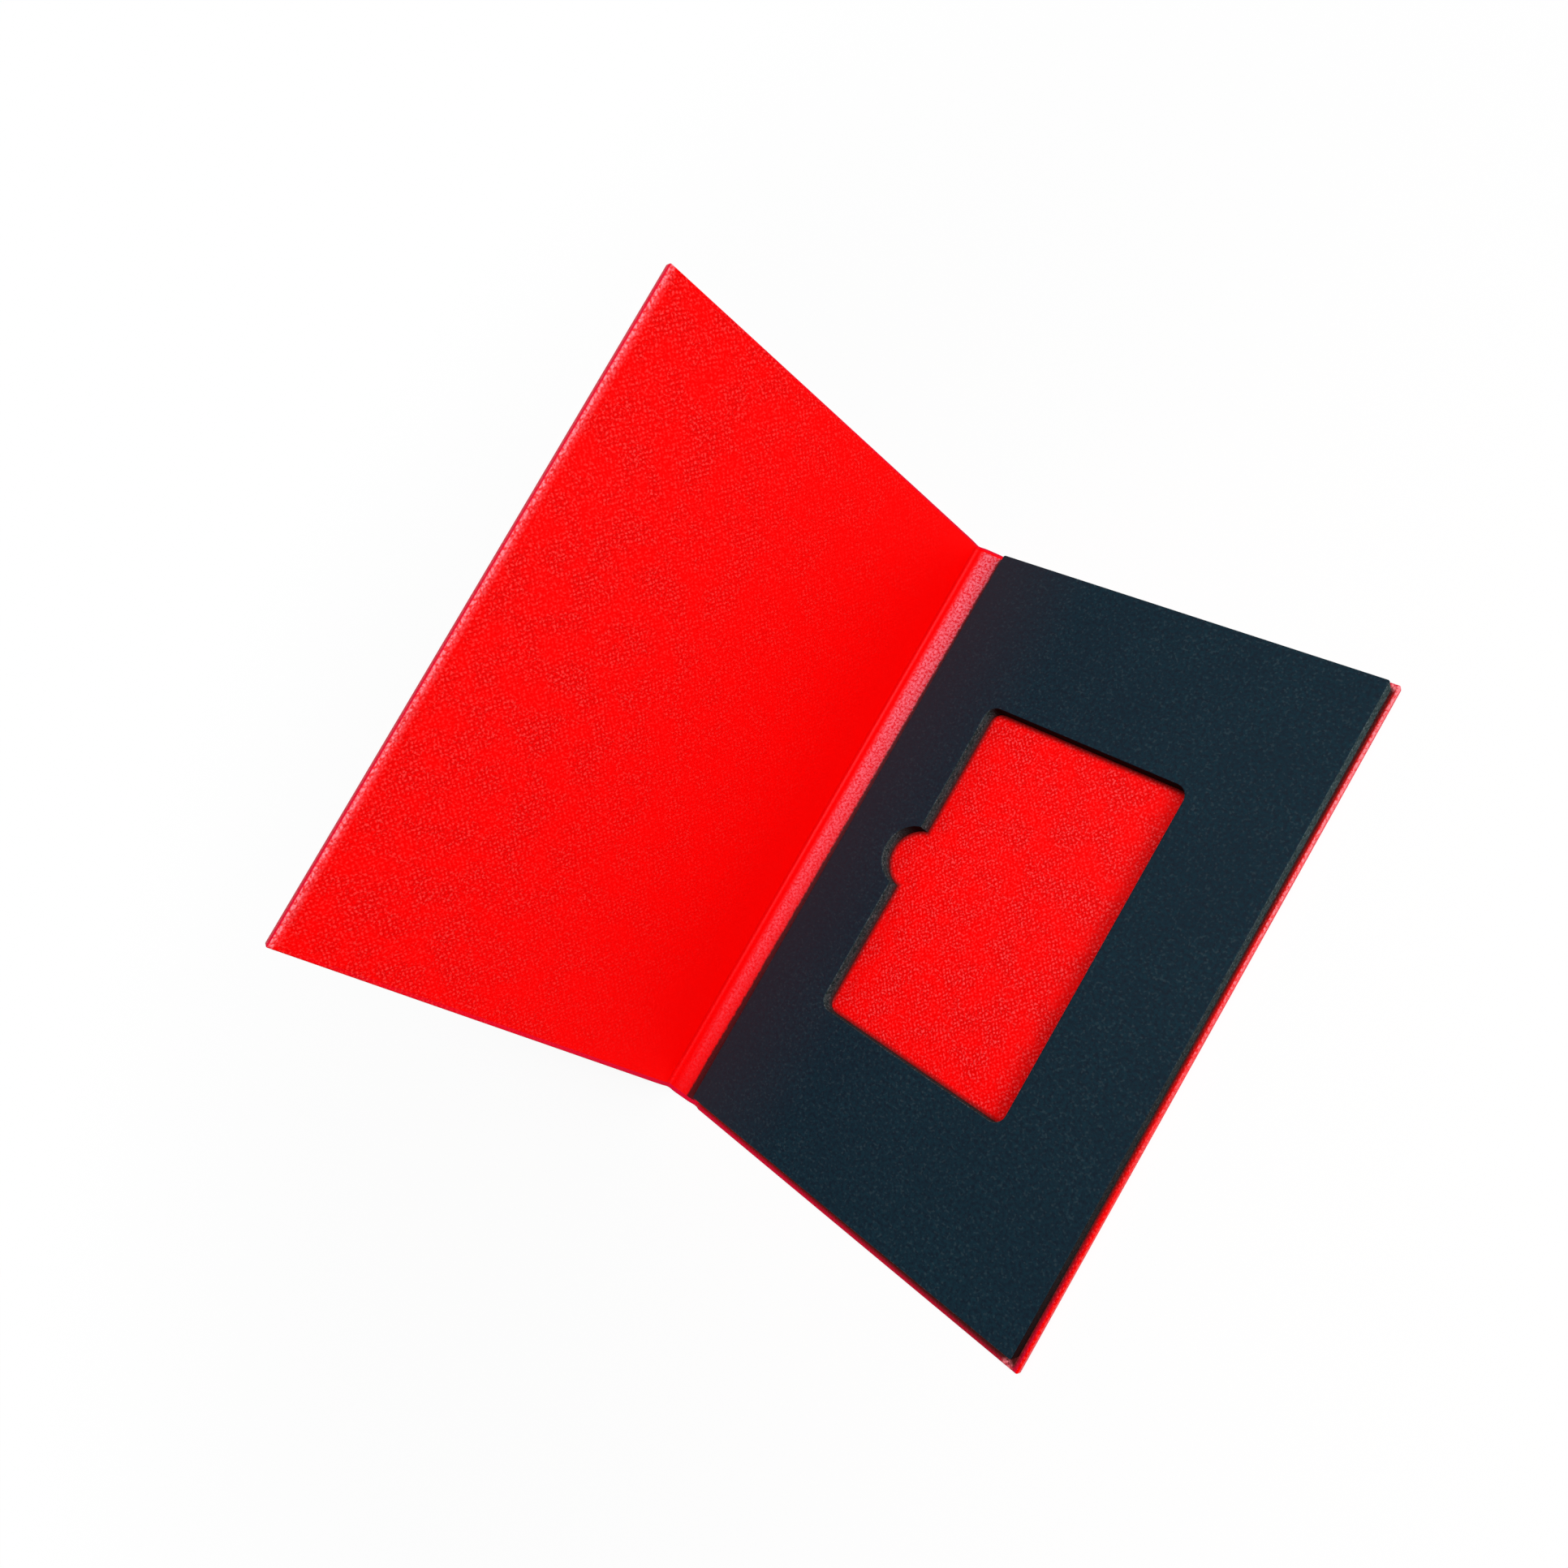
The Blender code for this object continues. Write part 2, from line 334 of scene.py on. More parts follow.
def paintedSpineLightAndShade(tree, colour, flat, fromFold, alongSpine):
    # painted highlight in pale specks over the spine, and painted shade down in the crease
    low, high = paintedSpineLight["colours"]
    specks = spread(tree, noise(tree, flat, paintedSpineLight["speckScale"], 2.0, paintedSpineLight["speckRoughness"])[0],
                    *paintedSpineLight["specks"], 0.0, 1.0)
    pale = mixColours(tree, specks, low, high)
    share = spread(tree, fromFold, *paintedSpineLight["reach"], 0.0, 1.0, "SMOOTHSTEP")
    near, far, least = paintedSpineLight["alongSpine"]
    share = sums(tree, "MULTIPLY", share, spread(tree, alongSpine, near, far, least, 1.0))
    near, far, most = paintedSpineLight["narrowBy"]
    loss = sums(tree, "MULTIPLY", spread(tree, fromFold, *paintedSpineLight["narrow"], 0.0, 1.0),
                spread(tree, alongSpine, near, far, most, 0.0))
    share = sums(tree, "MULTIPLY", share, sums(tree, "SUBTRACT", 1.0, loss))
    colour = mixColours(tree, share, colour, pale)
    ragged = spread(tree, noise(tree, flat, paintedSpineLight["raggedScale"])[0], *noiseMiddle,
                    -paintedSpineLight["raggedBy"], paintedSpineLight["raggedBy"])
    edge = sums(tree, "ADD", fromFold, sums(tree, "MULTIPLY", alongSpine, -paintedSpineLight["gutterSlant"]))
    edge = sums(tree, "ADD", edge, ragged)
    dark = sums(tree, "MULTIPLY", spread(tree, edge, *paintedSpineLight["gutter"], 0.0, 1.0),
                spread(tree, edge, *paintedSpineLight["gutterEnd"], 1.0, 0.0, "SMOOTHSTEP"))
    return mixColours(tree, dark, colour, paintedSpineLight["gutterColour"])


def leatherPaper(name, look, folded=False, foot=None):
    material, tree, output = newMaterial(name)
    flat = addNode(tree, "ShaderNodeUVMap", {"uv_map": "sheetFlat"}).outputs["UV"]
    split = addNode(tree, "ShaderNodeSeparateXYZ", Vector=flat)
    fromFold, alongSpine = split.outputs[0], split.outputs[1]

    # the two crossing rows stray a little, and so does every pad, as in a rolled pattern
    place = flat
    for scale, wander in zip(look["wanderScales"], look["wander"]):
        stray = vectorMath(tree, "SUBTRACT", noise(tree, flat, scale)[1], in1=(0.5, 0.5, 0.5))
        stray = vectorMath(tree, "SCALE", stray, Scale=2.0 * wander)
        place = vectorMath(tree, "ADD", place, in1=stray)
    waves = []
    for across, along in (look["grainOne"], look["grainTwo"]):
        turn = vectorMath(tree, "DOT_PRODUCT", place, "Value",
                          in1=(2 * math.pi * across, 2 * math.pi * along, 0.0))
        waves.append(spread(tree, sums(tree, "SINE", turn), -1.0, 1.0, 0.0, 1.0))
    pads = sums(tree, "MULTIPLY", waves[0], waves[1])

    # deeper and shallower patches, flatter towards the fold, and the tooth of the paper
    outer, inner, least = look["fade"]
    onFront = spread(tree, fromFold, outer, inner, 1.0, least)
    press = sums(tree, "MAXIMUM", onFront, spread(tree, fromFold, *look["backFade"], 0.0, 1.0))
    patches = spread(tree, noise(tree, flat, look["patchScale"], 3.0, 0.6)[0], *look["patches"])
    press = sums(tree, "MULTIPLY", press, patches)
    tooth = noise(tree, flat, look["toothScale"], 3.0, 0.6)[0]
    relief = sums(tree, "MULTIPLY", sums(tree, "MULTIPLY", pads, press), look["grainDepth"])
    relief = sums(tree, "ADD", relief, sums(tree, "MULTIPLY", tooth, look["toothDepth"]))
    bump = addNode(tree, "ShaderNodeBump", Strength=1.0, Distance=mm,
                   Height=relief).outputs["Normal"]

    colour = mixColours(tree, spread(tree, pads, 0.0, look["padEdge"], 0.0, 1.0),
                        look["gap"], look["pad"])
    colour = mixColours(tree, press, look["smooth"], colour)
    # painted glints: only some of the pads catch the light
    chosen = spread(tree, noise(tree, flat, look["chosenScale"], 2.0, 0.6)[0], *look["chosen"])
    dots = spread(tree, sums(tree, "MULTIPLY", pads, chosen), *look["dots"], 0.0, 1.0)
    flecks = spread(tree, noise(tree, flat, look["fleckScale"], 2.0, 0.6)[0],
                    *look["flecks"], 0.0, 1.0)
    dots = sums(tree, "MAXIMUM", dots, flecks)
    colour = mixColours(tree, sums(tree, "MULTIPLY", dots, press), colour, look["crown"])
    if folded:
        colour = paintedSpineLightAndShade(tree, colour, flat, fromFold, alongSpine)
    # wear with a painted highlight along the edges, then painted shade on the turns over them
    worn = stored(tree, "worn")
    patchy = sums(tree, "ADD", noise(tree, flat, look["wearScale"], 2.0, 0.7)[0],
                  sums(tree, "MULTIPLY", pads, look["wearOnPads"]))
    patchy = spread(tree, patchy, *look["wearPatches"])
    colour = mixColours(tree, sums(tree, "MULTIPLY", worn, patchy), colour, look["worn"])
    dull = stored(tree, "dull")
    colour = mixColours(tree, dull, colour, look["dull"])
    if foot:
        colour = mixColours(tree, footShade(tree, foot), colour, foot["shade"])
        place = objectPlace(tree)
        level = addNode(tree, "ShaderNodeSeparateXYZ", Vector=place).outputs[2]
        low, high = foot["rubbedLevel"]
        onTop = spread(tree, level, low * mm, high * mm, 0.0, 1.0)
        for x, y, reach, most in foot["rubbed"]:
            away = vectorMath(tree, "DISTANCE", place, "Value",
                              in1=(x * mm, y * mm, wrap["lipLevel"] * mm))
            rubbed = spread(tree, away, foot["rubbedCore"] * reach * mm, reach * mm, most, 0.0)
            rubbed = sums(tree, "MULTIPLY", sums(tree, "MULTIPLY", rubbed, onTop), patchy, True)
            colour = mixColours(tree, rubbed, colour, look["worn"])

    low, high = look["roughness"]
    rough = spread(tree, tooth, *noiseMiddle, low, high)
    shader = addNode(tree, "ShaderNodeBsdfPrincipled", BaseColor=colour, Roughness=rough,
                     Normal=bump, SpecularIORLevel=look["gloss"], SpecularTint=look["glossTint"])
    tree.links.new(shader.outputs[0], output.inputs[0])
    return material


# painted shade on the paper along the insert's foot
insertFootShade = {
    # each side of the insert: which way it lies, how far out, its slant and the shade's width
    "sides": (((-1.0, 0.0), 50.375, 0.0, 1.25), ((1.0, 0.0), 51.90, 0.003, 1.20),
              ((0.0, -1.0), 82.50, -0.0075, 1.90), ((0.0, 1.0), 82.90, 0.0, 1.25)),
    "window": (-30.975, 25.025, -42.70, 44.30),   # sides of the card window, millimetres
    "notch": (-29.375, 0.80, 8.0),                # middle and radius of the thumb notch
    "width": 1.4,                 # of the line inside the window
    "strength": 0.76,             # and how dark it is there
    "outsideStrength": 0.96,      # and round the insert
    "shade": (0.036, 0.0090, 0.0085, 1.0),
    # the rubbed corners of the cover beside it, in the colour of the wear and painted highlight:
    # middle, reach and how much
    "rubbed": ((50.4, -84.0, 1.7, 0.80), (52.6, 83.9, 1.7, 1.1)),
    "rubbedCore": 0.5,            # the share of the reach that is rubbed all over
    "rubbedLevel": (1.7, 2.2),    # only on the upper edge, and not down the side
}


def insideBox(tree, x, y, sides):
    # how far a point lies inside a box, less than nothing outside it
    left, right, low, high = [value * mm for value in sides]
    acrossBox = sums(tree, "MINIMUM", sums(tree, "SUBTRACT", x, left),
                     sums(tree, "SUBTRACT", right, x))
    alongBox = sums(tree, "MINIMUM", sums(tree, "SUBTRACT", y, low),
                    sums(tree, "SUBTRACT", high, y))
    return sums(tree, "MINIMUM", acrossBox, alongBox)


def footShade(tree, foot):
    # painted shade, darkest against the insert, gone a line's width away from it
    place = objectPlace(tree)
    split = addNode(tree, "ShaderNodeSeparateXYZ", Vector=place)
    x, y = split.outputs[0], split.outputs[1]
    outside = foot["outsideStrength"]
    for (toX, toY), out, slant, width in foot["sides"]:
        lean = (toX - slant * toY, toY - slant * toX, 0.0)
        past = vectorMath(tree, "DOT_PRODUCT", place, "Value", in1=lean)
        past = spread(tree, past, out * mm, (out + width) * mm, 1.0, 0.0, "SMOOTHSTEP")
        outside = sums(tree, "MULTIPLY", outside, past)
    notchX, notchY, notchRadius = [value * mm for value in foot["notch"]]
    inPlan = addNode(tree, "ShaderNodeCombineXYZ", X=x, Y=y).outputs[0]
    fromNotch = vectorMath(tree, "DISTANCE", inPlan, "Value", in1=(notchX, notchY, 0.0))
    inside = sums(tree, "MAXIMUM", insideBox(tree, x, y, foot["window"]),
                  sums(tree, "SUBTRACT", notchRadius, fromNotch))
    within = sums(tree, "GREATER_THAN", inside, 0.0)
    inside = spread(tree, inside, 0.0, foot["width"] * mm, foot["strength"], 0.0, "SMOOTHSTEP")
    inside = mixValues(tree, within, 1.0, inside)
    return sums(tree, "MULTIPLY", inside, outside)


redSheet = leatherPaper("redLeatherPaper", redPaper)
outsideSheet = leatherPaper("redPaperOutside", outsidePaper)
backSheet = leatherPaper("redPaperRoundInsert", redPaper, foot=insertFootShade)
windowSheet = leatherPaper("redPaperUnderInsert", paperWithPaintedSheen, foot=insertFootShade)
foldedSheet = leatherPaper("redPaperOverSpine", foldedPaper, folded=True)

# Black foam and greyboard

blackFoam = {
    "dark": (0.0003, 0.0060, 0.0135, 1.0),
    "light": (0.0030, 0.0195, 0.0310, 1.0),
    "speck": (0.0240, 0.0470, 0.0590, 1.0),
    "bloom": (0.0165, 0.0120, 0.0185, 1.0),      # painted reflection of the red cover, warmer towards the spine
    "bloomReach": (-50.4, -22.0, 0.70),
    "foot": (2.6, 4.7, 0.0),                     # painted shade and red bounce light towards the foot of a wall
    "footWithin": (-42.0, 30.0, -50.0, 50.0),    # but only inside the window
    "footColour": (0.080, 0.012, 0.010, 1.0),
    "shadowed": (0.010, 0.0022, 0.0024, 1.0),    # on the walls that no light reaches
    "cellsPerMetre": 1150.0,
    "cells": (0.36, 0.64),                       # from dark to light
    "cellDepth": 0.05,
    "cellStrength": 0.8,
    "cloudsPerMetre": 70.0,                      # darker clouds over the cells
    "cloudShade": 0.30,
    "roughness": (0.50, 0.68),
    "gloss": 0.085,
    "speckShare": 0.55,
    "speckFiner": 1.3,                           # specks are finer than the cells by this
    "specks": (0.58, 0.72),
}
cutFoam = dict(blackFoam, dark=(0.0100, 0.0215, 0.0220, 1.0), light=(0.0555, 0.0810, 0.0860, 1.0),
               speck=(0.1800, 0.2300, 0.2400, 1.0), foot=(2.6, 4.7, 0.82), bloomReach=(0.0, 0.0, 0.0),
               roughness=(0.82, 0.95), gloss=0.01, speckShare=0.6, cellsPerMetre=1500.0)


def foamMaterial(name, look):
    material, tree, output = newMaterial(name)
    place = objectPlace(tree)
    cells = noise(tree, place, look["cellsPerMetre"], 3.0, 0.6)[0]
    clouds = noise(tree, place, look["cloudsPerMetre"], 3.0)[0]
    colour = mixColours(tree, spread(tree, cells, *look["cells"], 0.0, 1.0),
                        look["dark"], look["light"])
    specks = spread(tree, noise(tree, place, look["cellsPerMetre"] * look["speckFiner"], 1.0)[0],
                    *look["specks"], 0.0, look["speckShare"])
    colour = mixColours(tree, specks, colour, look["speck"])
    shade = spread(tree, clouds, *noiseMiddle, look["cloudShade"], 0.0)
    colour = mixColours(tree, shade, colour, look["dark"])
    split = addNode(tree, "ShaderNodeSeparateXYZ", Vector=place)
    # painted reflection of the red cover towards the spine
    near, far, most = look["bloomReach"]
    if most:
        reflectedRed = spread(tree, split.outputs[0], near * mm, far * mm, most, 0.0)
        colour = mixColours(tree, reflectedRed, colour, look["bloom"])
    # painted shade and red bounce light towards the foot of the walls, then painted shade on walls no
    # light reaches
    low, high, most = look["foot"]
    if most:
        inside = insideBox(tree, split.outputs[0], split.outputs[1], look["footWithin"])
        within = sums(tree, "GREATER_THAN", inside, 0.0)
        share = spread(tree, split.outputs[2], low * mm, high * mm, most, 0.0)
        share = sums(tree, "MULTIPLY", share, within)
        colour = mixColours(tree, share, colour, look["footColour"])
        lit = stored(tree, "lit")
        colour = mixColours(tree, lit, look["shadowed"], colour)
    bump = addNode(tree, "ShaderNodeBump", Strength=look["cellStrength"],
                   Distance=look["cellDepth"] * mm, Height=cells).outputs["Normal"]
    low, high = look["roughness"]
    shader = addNode(tree, "ShaderNodeBsdfPrincipled", BaseColor=colour,
                     Roughness=spread(tree, cells, *noiseMiddle, low, high), Normal=bump,
                     SpecularIORLevel=look["gloss"])
    tree.links.new(shader.outputs[0], output.inputs[0])
    return material


foamFace = foamMaterial("blackFoamFace", blackFoam)
foamCut = foamMaterial("blackFoamCut", cutFoam)

greyboard = {
    "pulp": (0.27, 0.25, 0.22, 1.0),
    "fibre": (0.40, 0.37, 0.33, 1.0),
    "fleck": (0.09, 0.085, 0.08, 1.0),
    "stretch": (1.0, 0.25, 1.0),    # the fibres run along the spine
    "fibresPerMetre": 1400.0,
    "fibres": (0.35, 0.65),
    "flecksPerMetre": 900.0,
    "flecks": (0.66, 0.74),
    "fleckShare": 0.8,
    "fibreDepth": 0.03,
    "fibreStrength": 0.6,
    "roughness": (0.82, 0.96),
    "gloss": 0.2,
}


def boardMaterial(name, look):
    material, tree, output = newMaterial(name)
    place = objectPlace(tree)
    stretched = addNode(tree, "ShaderNodeMapping", Vector=place, Scale=look["stretch"]).outputs[0]
    fibres = noise(tree, stretched, look["fibresPerMetre"], 4.0, 0.65)[0]
    colour = mixColours(tree, spread(tree, fibres, *look["fibres"], 0.0, 1.0),
                        look["pulp"], look["fibre"])
    flecks = spread(tree, noise(tree, stretched, look["flecksPerMetre"])[0],
                    *look["flecks"], 0.0, look["fleckShare"])
    colour = mixColours(tree, flecks, colour, look["fleck"])
    bump = addNode(tree, "ShaderNodeBump", Strength=look["fibreStrength"],
                   Distance=look["fibreDepth"] * mm, Height=fibres).outputs["Normal"]
    shader = addNode(tree, "ShaderNodeBsdfPrincipled", BaseColor=colour,
                     Roughness=spread(tree, fibres, *noiseMiddle, *look["roughness"]), Normal=bump,
                     SpecularIORLevel=look["gloss"])
    tree.links.new(shader.outputs[0], output.inputs[0])
    return material


boardGrey = boardMaterial("greyboard", greyboard)
for node in ("back_board", "spine_board", "front_board"):
    for slot in frame["nodes"][node].material_slots:
        slot.material = boardGrey
print("materials made")

# How each crease bends: which way the bend runs, in degrees turned up from the back cover, and how
# far it reaches to either side of the axis, in millimetres
bends = {
    "back": {"bodies": ("back_cover", "spine"), "crease": backCrease,
             "angle": 160.0, "reach": 0.90},
    "front": {"bodies": ("spine", "front_cover"), "crease": frontCrease,
              "angle": 145.5, "reach": 0.80},
}
bendCuts = 8         # each sheet is cut across its bend into this many strips
spineShorter = 0.03  # at each end, so that the folded ends of the wraps pass one behind the other


def bendStep(bend):
    turn = math.radians(bend["angle"])
    return Vector((math.cos(turn), 0.0, math.sin(turn))) * bend["reach"]


def cutBend(bm, bend):
    step = bendStep(bend)
    for cut in range(bendCuts + 1):
        cutAcross(bm, bend["crease"] + step * (2.0 * cut / bendCuts - 1.0), step.normalized())


def shortenSpine(bm, bend, half):
    step = bendStep(bend)
    for vert in bm.verts:
        turned = (vert.co - bend["crease"] + step).dot(step) / (2.0 * step.length_squared)
        turned = min(max(turned, 0.0), 1.0)
        onSpine = turned if bend["bodies"][1] == "spine" else 1.0 - turned
        vert.co.y *= 1.0 - onSpine * spineShorter / half


# The lining, one thin sheet over the whole inner face, down into both creases

lining = {
    "face": 2.60,           # its face above the underside
    "thickness": 0.10,
    "margin": 1.2,          # what the outer sheet shows round it
    "roundSteps": 7,
    "endCuts": (0.8, 3.0, 9.0),
    "edgeWorn": 1.1,        # worn, with painted highlight, this far in from its free edge
    "edgeWear": 0.28,
    # how far the paper over the spine, with its painted highlight and crease shade, reaches from the
    # spine's middle, to back and front
    "spineStretch": {1: 6.6, -1: 4.6},
}


# The groove down into each crease: how far from the crease the paper leaves the spine, where the
# bottom is and at what level, and where the paper is up on the cover, each with its rounding last
gutters = {
    "back": {"parts": (spineByBack, backPanel, backPanel),
             "leaves": (1.00, 0.60), "bottom": (1.25, 1.475, 0.90), "lands": (2.95, 0.60)},
    "front": {"parts": (spineByFront, spineByFront, frontPanel),
              "leaves": (3.30, 0.80), "bottom": (1.20, 1.950, 0.60), "lands": (3.60, 1.00)},
}


def gutterPath(gutter, level, drop):
    # from the middle of the spine, down into the crease and up on the cover
    spinePart, bottomPart, coverPart = gutter["parts"]
    leaves, leavesRounding = gutter["leaves"]
    bottom, bottomLevel, bottomRounding = gutter["bottom"]
    lands, landsRounding = gutter["lands"]
    return [
        (spot(spinePart, spineMiddle, level), 0.0),
        (spot(spinePart, leaves, level), leavesRounding),
        (spot(bottomPart, bottom, bottomLevel - drop), bottomRounding),
        (spot(coverPart, lands, level), landsRounding),
    ]


def liningSheet(name, corners, part, side, bend):
    half = folder["coverHalf"] - lining["margin"]
    edge = (spot(part, folder["coverReach"] - lining["margin"], lining["face"]), 0.0)
    corners = corners + [edge]
    bm = bmesh.new()
    across = bm.verts.layers.float.new("across")
    verts = [bm.verts.new(point - Vector((0.0, half, 0.0))) for point, rounding in corners]
    for first, second in zip(verts, verts[1:]):
        bm.edges.new((first, second))
    start = verts[0]
    roundCorners(bm, verts, [rounding for point, rounding in corners], lining["roundSteps"])

    # every point of the path knows its distance along the sheet from the middle of the spine
    at, came, travelled = start, None, 0.0
    while True:
        at[across] = side * travelled
        ahead = [one for one in at.link_edges if one is not came]
        if not ahead:
            break
        came = ahead[0]
        travelled += came.calc_length()
        at = came.other_vert(at)

    slideAlong(bm, bmesh.ops.extrude_edge_only(bm, edges=bm.edges[:])["geom"], 2 * half)
    for cut in lining["endCuts"]:
        for end in (-1, 1):
            cutAcross(bm, (0.0, end * (half - cut), 0.0), spineWay)
    cutAcross(bm, edge[0] - part["along"] * lining["edgeWorn"], part["along"])
    cutBend(bm, bend)
    worn = bm.verts.layers.float.new("worn")
    for vert in bm.verts:
        if (vert.co - edge[0]).dot(part["along"]) > -slack:
            vert[worn] = lining["edgeWear"]
    faceTheEye(bm, part)
    bmesh.ops.solidify(bm, geom=bm.faces[:], thickness=lining["thickness"])
    flat = bm.loops.layers.uv.new("sheetFlat")
    for face in bm.faces:
        for loop in face.loops:
            loop[flat].uv = (loop.vert[across], loop.vert.co.y)
    overSpine = lining["spineStretch"][side]
    for face in bm.faces:
        middle = sum(vert[across] for vert in face.verts) / len(face.verts)
        face.material_index = 1 if abs(middle) < overSpine else 0
    return finishPiece(name, bm, [windowSheet if side > 0 else redSheet, foldedSheet])


# The outer wrap, a sheet round the boards with its edges turned in

def outerWrap(name, corners, crease, part, spinePart, side, bend):
    half = folder["coverHalf"]
    reach = folder["coverReach"]
    outline = corners + [(spot(part, reach, wrap["lipLevel"]), 0.0), (spot(part, reach, 0.0), 0.0),
                         crease, (spot(spinePart, spineMiddle, 0.0), 0.0)]
    bm = bmesh.new()
    verts = [bm.verts.new(point - Vector((0.0, half, 0.0))) for point, rounding in outline]
    bm.faces.new(verts)
    roundCorners(bm, verts, [rounding for point, rounding in outline], lining["roundSteps"])
    slideAlong(bm, bmesh.ops.extrude_face_region(bm, geom=bm.faces[:])["geom"], 2 * half)
    bmesh.ops.recalc_face_normals(bm, faces=bm.faces[:])

    def away(point):
        return (point - part["origin"]).dot(part["along"])

    def inSpine(face):
        middle = spot(spinePart, spineMiddle, wrap["midLevel"])
        return ((face.calc_center_median() - middle).length < wrap["midReach"]
                and abs(face.normal.dot(spinePart["along"])) > wrap["squarely"])

    bmesh.ops.delete(bm, geom=[face for face in bm.faces if inSpine(face)], context="FACES_ONLY")

    # the cover's corners, then the paper's turn over every edge
    upright = [edge for edge in bm.edges
               if all(away(vert.co) > reach - slack for vert in edge.verts)
               and abs(edge.verts[0].co.y - edge.verts[1].co.y) < slack]
    roundEdges(bm, upright, wrap["cornerRadius"], wrap["cornerSteps"])

    def isSide(face):
        atEdge = away(face.calc_center_median()) > reach - wrap["sideDepth"]
        return (abs(face.normal.y) > wrap["partly"]
                or face.normal.dot(part["along"]) > wrap["sideways"] and atEdge)

    rims = [edge for edge in bm.edges if len(edge.link_faces) == 2
            and isSide(edge.link_faces[0]) != isSide(edge.link_faces[1])]
    turned = roundEdges(bm, rims, wrap["rim"], wrap["rimSteps"])
    for inset in wrap["wornBands"][side]:
        cutAcross(bm, spot(part, reach - inset, 0.0), part["along"])
    for y in wrap["wornBetween"]:
        cutAcross(bm, (0.0, y, 0.0), spineWay)
    # wear with a painted highlight near the free edge, and painted shade on the turns over the edges
    worn = bm.verts.layers.float.new("worn")
    dull = bm.verts.layers.float.new("dull")
    turnedFaces = {face for face in turned["faces"] if face.is_valid}
    bandFull, bandOuter = wrap["wornBands"][side][1:]
    wornNear, wornFar = wrap["wornEnds"][side]
    fromY, toY = wrap["wornBetween"]
    for vert in bm.verts:
        inside = (vert.co - part["origin"]).dot(part["up"])
        inset = reach - away(vert.co)
        if inside > wrap["midLevel"] and bandOuter - slack < inset < bandFull + slack:
            share = min(max((vert.co.y - fromY) / (toY - fromY), 0.0), 1.0)
            vert[worn] = wornNear + (wornFar - wornNear) * share
        elif inset < bandOuter - slack:
            vert[worn] = wrap["sideWear"]
            vert[dull] = wrap["sideDull"]
        elif any(face in turnedFaces for face in vert.link_faces):
            vert[dull] = wrap["endDull"]

    cutBend(bm, bend)
    shortenSpine(bm, bend, half)

    # the open middle under the lining
    inner = half - wrap["lip"]
    cutAcross(bm, spot(part, reach - wrap["lip"], 0.0), part["along"])
    for end in (-1, 1):
        cutAcross(bm, (0.0, end * inner, 0.0), spineWay)
    covered = []
    for face in bm.faces:
        centre = face.calc_center_median()
        upwards = face.normal.dot(part["up"])
        facesIn = (upwards > wrap["partly"] and face.normal.z > wrap["partly"]
                   or upwards > wrap["squarely"]
                   or face.normal.dot(spinePart["up"]) > wrap["squarely"])
        if facesIn and abs(centre.y) < inner and away(centre) < reach - wrap["lip"]:
            covered.append(face)
    bmesh.ops.delete(bm, geom=covered, context="FACES")
    bmesh.ops.solidify(bm, geom=bm.faces[:], thickness=wrap["thickness"])

    flat = bm.loops.layers.uv.new("sheetFlat")
    middle = (part["up"] + spinePart["up"]).normalized()
    parting = middle.cross(Vector(spineWay))
    parting *= 1 if parting.dot(part["along"]) > 0 else -1
    for face in bm.faces:
        onCover = (face.calc_center_median() - part["origin"]).dot(parting) > 0
        home = part if onCover else spinePart
        endFace = abs(face.normal.y) > wrap["mostly"]
        face.material_index = 1 if face.normal.dot(home["up"]) < wrap["outwards"] else 0
        sideFace = onCover and face.normal.dot(part["along"]) > wrap["mostly"]
        for loop in face.loops:
            offset = loop.vert.co - home["origin"]
            distance = offset.dot(home["along"]) * (1 if onCover else -1)
            height = offset.dot(home["up"]) + folder["creaseLevel"]
            y = loop.vert.co.y
            if sideFace:
                distance += height
            if endFace:
                y += math.copysign(height, y)
            loop[flat].uv = (side * (spineMiddle + distance), y)
    return finishPiece(name, bm, [backSheet if side > 0 else redSheet, outsideSheet])


def bendAt(piece):
    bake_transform(piece)


liningByBack = liningSheet("lining_back_and_spine", gutterPath(gutters["back"], lining["face"], 0.0),
                           backPanel, 1, bends["back"])
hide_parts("lining_back")
bendAt(liningByBack)
liningByFront = liningSheet("lining_spine_and_front",
                            gutterPath(gutters["front"], lining["face"], 0.0),
                            frontPanel, -1, bends["front"])
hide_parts("lining_front", "lining_spine")
bendAt(liningByFront)

lipLevel = wrap["lipLevel"]
drop = lining["face"] - lipLevel
wrapByBack = outerWrap("wrap_back_and_spine", gutterPath(gutters["back"], lipLevel, drop),
                       (foldSpot(backPanel, spineByBack, 0.0), wrap["creaseRounding"][0]),
                       backPanel, spineByBack, 1, bends["back"])
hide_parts("outer_wrap_back")
bendAt(wrapByBack)
wrapByFront = outerWrap("wrap_spine_and_front", gutterPath(gutters["front"], lipLevel, drop),
                        (foldSpot(frontPanel, spineByFront, 0.0), wrap["creaseRounding"][1]),
                        frontPanel, spineByFront, -1, bends["front"])
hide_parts("outer_wrap_front", "outer_wrap_spine")
bendAt(wrapByFront)
print("sheets laid")

# The black insert, with its cut walls

insert = {
    "underside": 2.60,      # it rests on the lining
    "edge": 0.25,           # rounding of its upper edges
    "edgeSteps": 3,
    "farLight": 1.3,        # the outer wall is lit from its far end
    "shadedTurn": 0.87,     # the walls of the window that face away from the light
    "shadedSpan": 0.60,
    "mergeWithin": 0.002,   # corners of the CAD's triangles this near are one
    "flatWithin": 0.5,      # and flats that turn less than this are one, degrees
    "sharpTurn": 1.0,       # an upper edge that turns further is rounded, radians
    "topFacing": 0.8,       # how far upwards a face looks to be the top and not a cut wall
    "wallFacing": 0.1,
    "outerFacing": 0.3,     # the outer wall, and how near the outer edge it lies
    "outerDepth": 0.5,
    "endDepth": 5.0,        # walls this near the ends are outside the window
}


